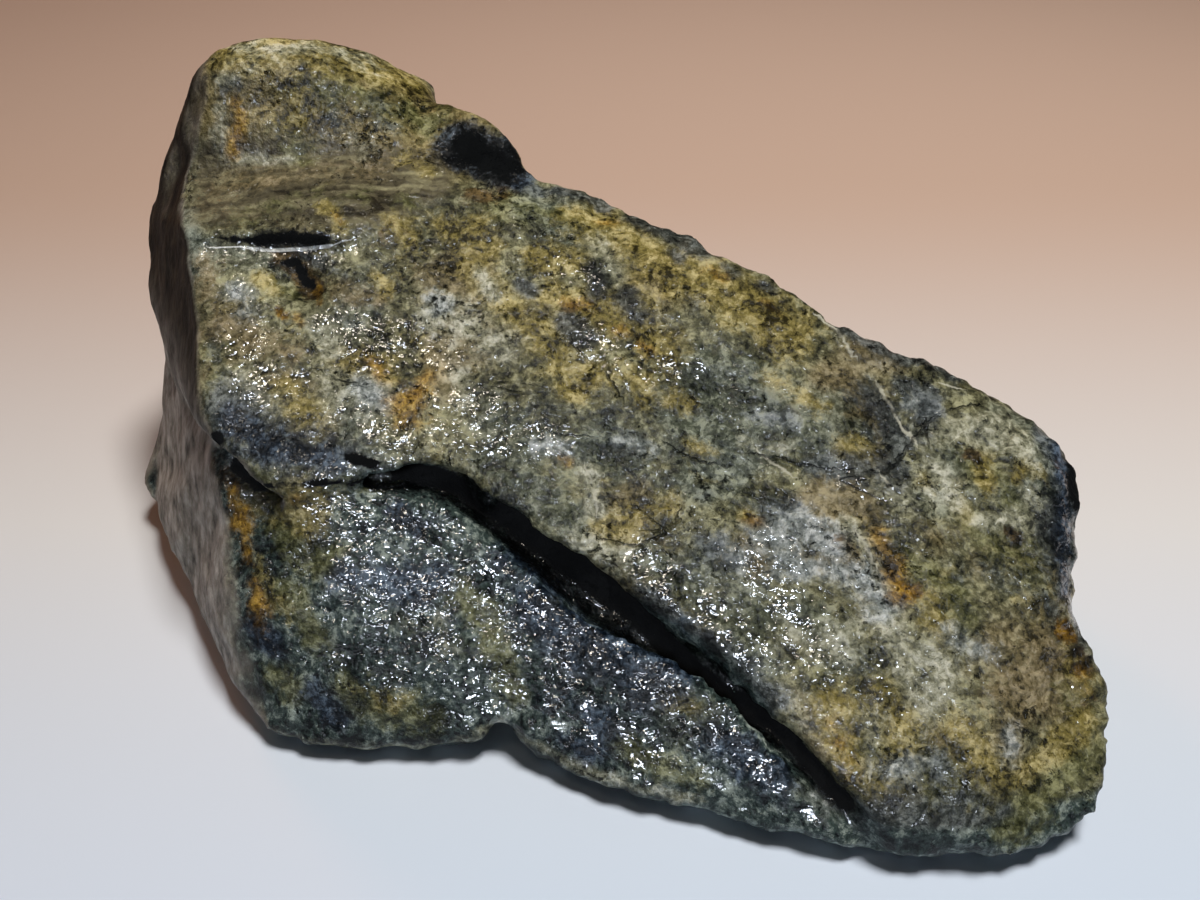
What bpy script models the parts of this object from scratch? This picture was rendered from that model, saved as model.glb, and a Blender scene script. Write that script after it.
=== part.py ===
"""Raw jade boulder: one broken block of wet jade, lying on the face it would be set down on.

The stone is described as blocks of rock, each the convex hull of the corners that can be named on it:
a tilted slab that makes the long top face, two swelling lobes that it overhangs in front, a high shoulder
at the left, a dark step behind it and the mass at the back. The blocks are united, the crevice under the
slab and the smaller hollows are cut out of them, and the edges are worn and the faces roughened.

Every corner is in millimetres, with x along the stone from left to right, y from front to back and z up
from the table. The finished solid is moved so that its origin is in the middle of its footprint.
"""

import bmesh
import bpy
from mathutils import Vector, noise

MM = 0.001

# The slope of the long top face: its height at y = 0, and how much it rises for each millimetre back.
TOP_FACE_HEIGHT = 88.0
TOP_FACE_RISE = 0.63

# How the surface is worn and roughened.
GRAIN_SIZE = 1.7
WEAR_ROUNDS = 3
WEAR_STRENGTH = 0.45
LUMP_LENGTH = 21.0
LUMP_HEIGHT = 1.2
CHIP_LENGTH = 7.5
CHIP_HEIGHT = 0.45
CHIP_SHIFT = Vector((31.0, 7.0, 3.0))
EVENNESS = 1.0
STEP_DOWN = 2.1
LAYERS = 2
QUIET_BASE = 6.0
MOST_TRIANGLES = 9600

# The finish of the stone: wet nephrite, dark grey-green under a film of water.
JADE_GREEN = (0.105, 0.11, 0.075, 1.0)
WET_ROUGHNESS = 0.35
JADE_IOR = 1.62

# How far the blocks reach below the table before the flat resting face is cut, and the size of the
# ground block that cuts it.
BURIED = -6.0
GROUND_WIDTH = 500.0
GROUND_DEPTH = 100.0


def on_top_face(x, y, proud=0.0):
    """A corner on the long top face, or standing a little proud of it."""
    return (x, y, TOP_FACE_HEIGHT + TOP_FACE_RISE * y + proud)


BLOCKS = {
    # The heart of the stone, which the other blocks grow from, and most of the face it rests on.
    "heart": (
        (-94, -30, BURIED),
        (-62, -85, BURIED),
        (20, -99, BURIED),
        (72, -106, BURIED),
        (84, -60, BURIED),
        (40, 20, BURIED),
        (-40, 50, BURIED),
        (-94, 30, BURIED),
        (-80, -30, 40),
        (-40, -50, 38),
        (0, -50, 34),
        (50, -76, 18),
        (40, -10, 40),
        (-60, 30, 60),
    ),
    # The left half of the long tilted slab, down to the middle of the ledge.
    "slab_left": (
        on_top_face(-35, -61.5),
        on_top_face(-13, -71),
        on_top_face(6, -83.5),
        on_top_face(25, -94.5),
        (49, -32, 68),
        (20, -15, 76),
        (-2, -4, 81),
        (-16, 0, 84),
        (-48, -4, 85),
        on_top_face(-48, -40),
        on_top_face(10, -50, 1.5),
        (-33, -58, 43),
        (-6, -73, 34),
        (8, -84, 27),
        (26, -94, 22),
        (50, -60, 20),
        (-10, 10, 55),
        (40, -20, 40),
    ),
    # The right half of the slab, where the ledge swings forward and runs down to the table.
    "slab_right": (
        on_top_face(24, -94.5),
        on_top_face(34, -105),
        on_top_face(49, -119, 1),
        on_top_face(72, -117),
        (52, -122, 5),
        (74, -124, 6),
        on_top_face(88, -88),
        on_top_face(90, -74),
        on_top_face(91, -62),
        (94, -86, 29),
        (95, -77, 34),
        (99, -66, 41),
        (100, -60, 43),
        (97, -53, 48),
        (87, -47, 54.5),
        (77, -45, 57.5),
        (57, -39, 63),
        (22, -24, 72),
        on_top_face(60, -75, 2),
        (25, -94, 23),
        (36, -106, 16),
        (48, -116, 6),
        (92, -70, 6),
        (60, -20, 30),
        (20, -20, 40),
    ),
    # The low corner at the right end of the slab.
    "right_foot": (
        on_top_face(66, -112),
        (74, -124, 6),
        (82, -122, 5),
        (90, -119, 6),
        (95, -115, 9),
        (99, -106, 15),
        (100, -98, 21),
        (97, -91, 27),
        (92, -84, 32),
        on_top_face(70, -88),
        (70, -112, BURIED),
        (84, -104, BURIED),
        (90, -90, 5),
    ),
    # The slab's blunt nose at the left, whose tip hangs over the front lobe.
    "nose": (
        (-80, -59, 52),
        (-68, -67, 46),
        (-63, -69, 45),
        on_top_face(-52, -64),
        on_top_face(-34, -62),
        (-85, -40, 61),
        (-89, -27, 70),
        (-91, -20, 76),
        (-50, -20, 76),
        (-107, -16, 42),
        (-111, -4, 54),
        (-113, 8, 64),
        (-108, 14, 74),
        (-79, -55, 47),
        (-67, -63, 42),
        (-36, -56, 43),
        (-40, 10, 60),
        (-98, 30, 56),
    ),
    # The shelf behind the nose, from which the shoulder rises.
    "shelf": (
        (-92, -19, 77),
        (-74, -22, 78.5),
        (-57, -23, 78.5),
        on_top_face(-42, -16),
        (-28, 0, 85),
        (-44, 6, 86),
        (-72, 5, 87),
        (-98, 10, 85),
        (-112, 9, 68),
        (-90, 20, 50),
        (-30, 20, 50),
    ),
    # The high shoulder at the left, with its worn plateau.
    "shoulder": (
        (-94, 2, 84),
        (-72, 1, 86),
        (-40, 2, 85),
        (-88, 11, 103),
        (-82, 12, 104),
        (-67, 13, 104),
        (-47, 16, 98),
        (-41, 21, 94),
        (-88, 17, 106.5),
        (-78, 22, 107.5),
        (-67, 25, 106.5),
        (-58, 28, 103),
        (-50, 30, 98),
        (-42, 32, 92.5),
        (-95, 16, 101),
        (-100, 18, 93),
        (-106, 17, 81),
        (-113, 10, 66),
        (-94, 42, 84),
        (-60, 46, 86),
        (-102, 40, 50),
        (-45, 44, 60),
    ),
    # The small dark step between the shoulder and the slab's skyline.
    "dark_step": (
        (-46, 20, 92),
        (-36, 15, 95),
        (-30, 10, 95),
        (-23, 7, 92),
        (-19, 3, 88),
        (-17, -1, 83),
        (-44, 2, 84),
        (-44, 36, 80),
        (-22, 26, 74),
        (-46, 40, 56),
        (-14, 24, 54),
        (-30, 0, 60),
    ),
    # The front lobe at the left, below the ledge; its left side is the stone's flat end.
    "left_lobe": (
        (-81, -58, 44),
        (-77, -69, 34),
        (-74, -78, 24),
        (-71, -89, 12),
        (-69, -97, 5),
        (-61, -67, 43),
        (-41, -63, 42),
        (-28, -66, 39),
        (-21, -76, 31),
        (-19, -90, 18),
        (-20, -97, 10),
        (-26, -100, 5),
        (-48, -88, 24),
        (-33, -99.5, 4),
        (-53, -100.5, 4),
        (-62, -98.5, 4),
        (-75, -91, 6),
        (-88, -69, 9),
        (-102, -49, 11),
        (-111, -37, 11),
        (-108, -16, 40),
        (-108, 6, 44),
        (-45, -20, 56),
        (-64, -84, BURIED),
        (-30, -86, BURIED),
        (-100, -26, BURIED),
        (-98, 24, BURIED),
        (-20, -30, BURIED),
    ),
    # The knob that sticks out low on the flat end.
    "knob": (
        (-119, -25, 12.5),
        (-117, -30, 11),
        (-114, -20, 18),
        (-110, -17, 30),
        (-113, -6, 14),
        (-104, -39, 9),
        (-100, -22, 4),
        (-98, -14, 30),
        (-96, -34, 18),
        (-98, -30, BURIED),
    ),
    # The front lobe at the right, flatter and further under the slab.
    "right_lobe": (
        (-24, -67, 37),
        (-12, -72, 31),
        (0, -81, 24),
        (7, -84, 20),
        (17, -90, 17),
        (31, -100, 18),
        (42, -112, 15),
        (-19, -78, 29),
        (-14, -87, 20),
        (-20, -97, 10),
        (-14, -102, 5),
        (-4, -108, 5),
        (10, -109.5, 5),
        (28, -116, 5),
        (45, -121, 5),
        (60, -123, 5),
        (75, -124, 6),
        (60, -80, 16),
        (-20, -50, 36),
        (-12, -90, BURIED),
        (12, -99, BURIED),
        (56, -112, BURIED),
        (80, -102, BURIED),
        (84, -40, BURIED),
        (0, 20, BURIED),
        (0, 0, 40),
    ),
    # The mass at the back, lower than the skyline all along, broken into two steps at each side.
    "back_left": (
        (-98, 34, 70),
        (-84, 45, 77),
        (-62, 48, 76),
        (-34, 40, 68),
        (-22, 28, 60),
        (-106, 28, 36),
        (-92, 56, 34),
        (-62, 66, 28),
        (-32, 60, 24),
        (-20, 44, 34),
        (-104, 0, BURIED),
        (-96, 44, BURIED),
        (-62, 58, BURIED),
        (-30, 54, BURIED),
        (-20, 20, BURIED),
        (-60, -60, BURIED),
    ),
    "back_right": (
        (-30, 18, 62),
        (14, 6, 60),
        (54, -14, 47),
        (84, -36, 33),
        (94, -62, 24),
        (93, -84, 16),
        (-16, 50, 28),
        (16, 34, 38),
        (38, 30, 20),
        (68, 4, 18),
        (90, -34, 12),
        (-26, 48, BURIED),
        (4, 46, BURIED),
        (34, 30, BURIED),
        (60, 4, BURIED),
        (82, -40, BURIED),
        (86, -88, BURIED),
        (-20, -40, BURIED),
    ),
    "back_ledge": (
        (-60, 52, 56),
        (-30, 50, 54),
        (-4, 34, 52),
        (24, 18, 48),
        (-64, 62, 44),
        (-30, 58, 40),
        (0, 44, 40),
        (26, 28, 34),
        (-50, 40, 30),
        (20, 10, 26),
    ),
}

# The middle line of the crevice under the ledge, and how far it opens on each side of that line.
CREVICE = (
    (-87, -51, 48.5, 1.4),
    (-80, -56, 46.5, 3.4),
    (-67, -62, 42.5, 3.4),
    (-52, -60, 43.5, 3.0),
    (-41, -59, 44, 3.6),
    (-30, -61, 42.5, 4.6),
    (-18, -67, 37.5, 5.6),
    (-6, -75, 31, 6.2),
    (5, -82, 25, 6.0),
    (15, -88, 20.5, 5.2),
    (25, -95, 17.5, 4.4),
    (33, -102, 16, 3.6),
    (41, -111, 13, 3.2),
    (47, -117.5, 9, 2.8),
    (52, -122, 4.5, 2.4),
)

# The slot below the shelf's lip, and the small pit on the nose.
SLOT = (
    (-98, -15, 74, 1.4),
    (-88, -19, 75, 2.3),
    (-76, -21.5, 75.5, 2.6),
    (-67, -22.5, 75.5, 2.0),
    (-62, -23, 76, 1.0),
)
PIT = (
    (-68, -24, 73.4, 1.8),
    (-65, -27, 71.9, 3.4),
    (-61, -31, 69.4, 2.2),
)
HOLLOWS = {"crevice": CREVICE, "slot": SLOT, "pit": PIT}


def new_collection(name):
    collection = bpy.data.collections.new(name)
    bpy.context.scene.collection.children.link(collection)
    return collection


def add_helper(name, data, collection):
    """A block or a cutter: drawn as wire and left out of renders."""
    helper = bpy.data.objects.new(name, data)
    helper.hide_render = True
    helper.display_type = "WIRE"
    collection.objects.link(helper)
    return helper


def block_mesh(name, corners):
    """The convex hull of a block's corners."""
    shape = bmesh.new()
    for corner in corners:
        shape.verts.new(Vector(corner) * MM)
    hull = bmesh.ops.convex_hull(shape, input=shape.verts)
    loose = {item for item in hull["geom_interior"] + hull["geom_unused"]
             if isinstance(item, bmesh.types.BMVert)}
    bmesh.ops.delete(shape, geom=list(loose), context="VERTS")
    bmesh.ops.recalc_face_normals(shape, faces=shape.faces)
    mesh = bpy.data.meshes.new(name)
    shape.to_mesh(mesh)
    shape.free()
    return mesh


def hollow_mesh(name, stations):
    """A tube through the stations of a hollow, as wide at each as the hollow is there."""
    curve = bpy.data.curves.new(name, "CURVE")
    curve.dimensions = "3D"
    curve.bevel_depth = MM
    curve.bevel_resolution = 2
    curve.use_fill_caps = True
    spline = curve.splines.new("POLY")
    spline.points.add(len(stations) - 1)
    for point, (x, y, z, opening) in zip(spline.points, stations):
        point.co = (x * MM, y * MM, z * MM, 1.0)
        point.radius = opening
    tube = bpy.data.objects.new(name + "_line", curve)
    bpy.context.scene.collection.objects.link(tube)
    graph = bpy.context.evaluated_depsgraph_get()
    mesh = bpy.data.meshes.new_from_object(tube.evaluated_get(graph))
    bpy.data.objects.remove(tube)
    shape = bmesh.new()
    shape.from_mesh(mesh)
    bmesh.ops.remove_doubles(shape, verts=shape.verts, dist=0.00001)
    bmesh.ops.recalc_face_normals(shape, faces=shape.faces)
    shape.to_mesh(mesh)
    shape.free()
    return mesh


def boolean(stone, name, operation, collection):
    """Unites the stone with, or cuts from it, everything in a collection."""
    modifier = stone.modifiers.new(name, "BOOLEAN")
    modifier.operation = operation
    modifier.operand_type = "COLLECTION"
    modifier.collection = collection
    modifier.solver = "EXACT"


def settle(stone):
    """Turns the stone's modifiers into plain mesh."""
    graph = bpy.context.evaluated_depsgraph_get()
    mesh = bpy.data.meshes.new_from_object(stone.evaluated_get(graph))
    stone.modifiers.clear()
    stone.data = mesh


def keep_largest(mesh):
    """Drops crumbs of rock and sealed pockets, so that one closed skin is left."""
    shape = bmesh.new()
    shape.from_mesh(mesh)
    waiting = set(shape.verts)
    skins = []
    while waiting:
        front = [waiting.pop()]
        skin = list(front)
        while front:
            neighbours = {edge.other_vert(vertex) for vertex in front for edge in vertex.link_edges}
            front = list(neighbours & waiting)
            waiting.difference_update(front)
            skin.extend(front)
        skins.append(skin)
    largest = max(skins, key=len)
    crumbs = [vertex for skin in skins if skin is not largest for vertex in skin]
    bmesh.ops.delete(shape, geom=crumbs, context="VERTS")
    shape.to_mesh(mesh)
    shape.free()


def roughen(mesh):
    """Raises low lumps and chips all over, and leaves the foot of the stone quiet."""
    shape = bmesh.new()
    shape.from_mesh(mesh)
    shape.normal_update()
    moves = []
    for vertex in shape.verts:
        place = vertex.co / MM
        lump = noise.fractal(place / LUMP_LENGTH, EVENNESS, STEP_DOWN, LAYERS) * LUMP_HEIGHT
        chip_place = place / CHIP_LENGTH + CHIP_SHIFT
        chip = noise.fractal(chip_place, EVENNESS, STEP_DOWN, LAYERS) * CHIP_HEIGHT
        quiet = min(1.0, max(0.0, place.z / QUIET_BASE))
        moves.append(vertex.normal * ((lump + chip) * quiet * MM))
    for vertex, move in zip(shape.verts, moves):
        vertex.co += move
    shape.to_mesh(mesh)
    shape.free()


def cut_foot(stone, cutters):
    """Cuts the flat face that the stone rests on."""
    bpy.ops.mesh.primitive_cube_add(
        size=MM,
        location=(0.0, 0.0, -GROUND_DEPTH / 2 * MM),
        scale=(GROUND_WIDTH, GROUND_WIDTH, GROUND_DEPTH),
    )
    ground = bpy.context.active_object
    ground.name = "ground_cut"
    for collection in ground.users_collection:
        collection.objects.unlink(ground)
    cutters.objects.link(ground)
    ground.hide_render = True
    ground.display_type = "WIRE"
    modifier = stone.modifiers.new("flat_foot", "BOOLEAN")
    modifier.operation = "DIFFERENCE"
    modifier.object = ground
    modifier.solver = "EXACT"


def jade():
    """Wet rough jade."""
    material = bpy.data.materials.new("wet_raw_jade")
    material.use_nodes = True
    shader = material.node_tree.nodes["Principled BSDF"]
    shader.inputs["Base Color"].default_value = JADE_GREEN
    shader.inputs["Roughness"].default_value = WET_ROUGHNESS
    shader.inputs["Metallic"].default_value = 0.0
    shader.inputs["IOR"].default_value = JADE_IOR
    return material


def centre(stone):
    """Moves the mesh so that the origin is in the middle of its footprint, on the table."""
    points = [vertex.co for vertex in stone.data.vertices]
    low = [min(point[axis] for point in points) for axis in range(3)]
    high = [max(point[axis] for point in points) for axis in range(3)]
    shift = Vector((-(low[0] + high[0]) / 2, -(low[1] + high[1]) / 2, -low[2]))
    for vertex in stone.data.vertices:
        vertex.co += shift


def main():
    for old in list(bpy.data.objects):
        bpy.data.objects.remove(old)

    home = new_collection("jade_boulder")
    blocks = new_collection("blocks")
    hollows = new_collection("hollows")
    cutters = new_collection("cutters")

    for name, corners in BLOCKS.items():
        add_helper("block_" + name, block_mesh(name, corners), blocks)
    for name, stations in HOLLOWS.items():
        add_helper("hollow_" + name, hollow_mesh(name, stations), hollows)

    first = blocks.objects["block_heart"]
    stone = bpy.data.objects.new("jade_boulder", first.data.copy())
    home.objects.link(stone)
    blocks.objects.unlink(first)
    bpy.data.objects.remove(first)

    boolean(stone, "unite_blocks", "UNION", blocks)
    boolean(stone, "cut_hollows", "DIFFERENCE", hollows)
    settle(stone)

    remesh = stone.modifiers.new("even_grain", "REMESH")
    remesh.mode = "VOXEL"
    remesh.voxel_size = GRAIN_SIZE * MM
    smooth = stone.modifiers.new("worn_edges", "SMOOTH")
    smooth.factor = WEAR_STRENGTH
    smooth.iterations = WEAR_ROUNDS
    settle(stone)
    keep_largest(stone.data)
    roughen(stone.data)

    triangles = sum(len(face.vertices) - 2 for face in stone.data.polygons)
    decimate = stone.modifiers.new("fewer_facets", "DECIMATE")
    decimate.ratio = MOST_TRIANGLES / triangles
    cut_foot(stone, cutters)
    settle(stone)
    centre(stone)

    stone.data.materials.clear()
    stone.data.materials.append(jade())


main()
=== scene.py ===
"""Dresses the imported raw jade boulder: a finer skin for its solid, the stains, veins and wet gloss
of the raw stone, and the pale table and soft studio light it is shown in."""

import math
from collections import namedtuple

import bmesh
import bpy
import numpy as np
from bpy.props import FloatProperty, FloatVectorProperty, PointerProperty
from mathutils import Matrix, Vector
from mathutils.bvhtree import BVHTree


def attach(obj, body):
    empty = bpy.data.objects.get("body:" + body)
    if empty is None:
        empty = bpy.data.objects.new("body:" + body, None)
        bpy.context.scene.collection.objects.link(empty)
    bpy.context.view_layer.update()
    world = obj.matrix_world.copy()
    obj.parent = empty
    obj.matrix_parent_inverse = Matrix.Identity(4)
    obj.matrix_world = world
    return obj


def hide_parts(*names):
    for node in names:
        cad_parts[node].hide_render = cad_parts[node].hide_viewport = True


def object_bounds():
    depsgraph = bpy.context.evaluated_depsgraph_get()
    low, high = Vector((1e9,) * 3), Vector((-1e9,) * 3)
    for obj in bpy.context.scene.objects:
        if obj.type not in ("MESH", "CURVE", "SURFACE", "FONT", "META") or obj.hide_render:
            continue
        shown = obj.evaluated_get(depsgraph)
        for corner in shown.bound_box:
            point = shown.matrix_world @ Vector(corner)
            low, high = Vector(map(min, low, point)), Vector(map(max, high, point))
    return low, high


bl_info = {
    "name": "Raw jade boulder",
    "version": (1, 0, 0),
    "blender": (4, 5, 0),
    "location": "View3D > Sidebar > Jade",
    "description": "Builds the skin, the colours and the studio of a raw jade boulder",
    "category": "Object",
}

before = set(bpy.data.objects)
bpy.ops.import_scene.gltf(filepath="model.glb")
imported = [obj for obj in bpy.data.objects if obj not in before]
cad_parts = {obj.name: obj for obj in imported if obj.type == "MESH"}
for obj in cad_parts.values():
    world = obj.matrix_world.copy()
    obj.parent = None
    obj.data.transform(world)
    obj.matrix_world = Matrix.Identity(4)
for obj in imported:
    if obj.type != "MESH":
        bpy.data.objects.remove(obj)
CAD_LOW, CAD_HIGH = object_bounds()

MM = 0.001
NODE = "jade_boulder"
SLOT = "wet_raw_jade"

# The view that the stone is shown in, and that its marks are placed by.
VIEW_WIDTH = 1200
VIEW_HEIGHT = 900
SENSOR = 36.0
LENS = 28.2
PITCH = math.radians(50)
MOST_SLIDE = 0.1
EYE = Vector((CAD_LOW.x + 117.54 * MM, CAD_LOW.y - 83.92 * MM, CAD_LOW.z + 173.55 * MM))


def linear(code):
    """An sRGB hex colour such as "#88713c" as the linear colour that a node takes."""
    channels = [int(code[place:place + 2], 16) / 255 for place in (1, 3, 5)]
    return [c / 12.92 if c <= 0.04045 else ((c + 0.055) / 1.055) ** 2.4 for c in channels]


def size(name, about, default, low, high):
    """A length in millimetres that a user may change."""
    return FloatProperty(name=name, description=about + ", in millimetres", default=default,
                         min=low, max=high)


def colour(name, about, code):
    """A colour that a user may change, given as sRGB hex."""
    return FloatVectorProperty(name=name, description=about, subtype="COLOR", default=linear(code),
                               min=0, max=1)


class JADE_PG_relief(bpy.types.PropertyGroup):
    """How rough the stone's skin is."""

    cell: size("Skin cell", "Spacing of the skin's points", 1.17, 0.8, 4)
    lump_length: size("Lump length", "Distance between soft lumps", 14.0, 4, 40)
    lump_height: size("Lump height", "Height of the soft lumps", 0.9, 0, 3)
    crumb_length: size("Crumb length", "Width of the broken crystal crumbs", 4.2, 2, 12)
    crumb_height: size("Crumb height", "Height of the broken crystal crumbs", 0.8, 0, 2)
    grain_length: size("Grain length", "Width of the grains", 2.4, 1, 6)
    grain_height: size("Grain height", "Height of the grains", 0.5, 0, 1)
    layer_length: size("Layer length", "Thickness of the layers on the end and the shelf", 2.6, 1, 8)
    layer_height: size("Layer height", "Height of the layers' edges", 0.45, 0, 2)
    crack_depth: size("Crack depth", "Depth of the cracks", 0.2, 0, 2)


class JADE_PG_colours(bpy.types.PropertyGroup):
    """The stone's main colours. Each stain has its own dark, middle and light tone in STAINS."""

    skin_dark: colour("Skin dark", "Grey-green between the crystals", "#1e1f16")
    skin_middle: colour("Skin middle", "Grey-green of the weathered skin", "#605f46")
    skin_light: colour("Skin light", "Pale crystals of the weathered skin", "#a3a281")
    table: colour("Table", "The pale table top", "#d4d5d6")


# ---------------------------------------------------------------------------------------------
# Marks. Each is a brush stroke on the stone: how far it reaches to each side in millimetres, how
# strong it is, and the places that it passes, in pixels of the view.

# A mark that turns corners also runs onto the faces that meet its own, as shade in a crevice does.
Mark = namedtuple("Mark", "reach strength places turns", defaults=(False,))

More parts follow.
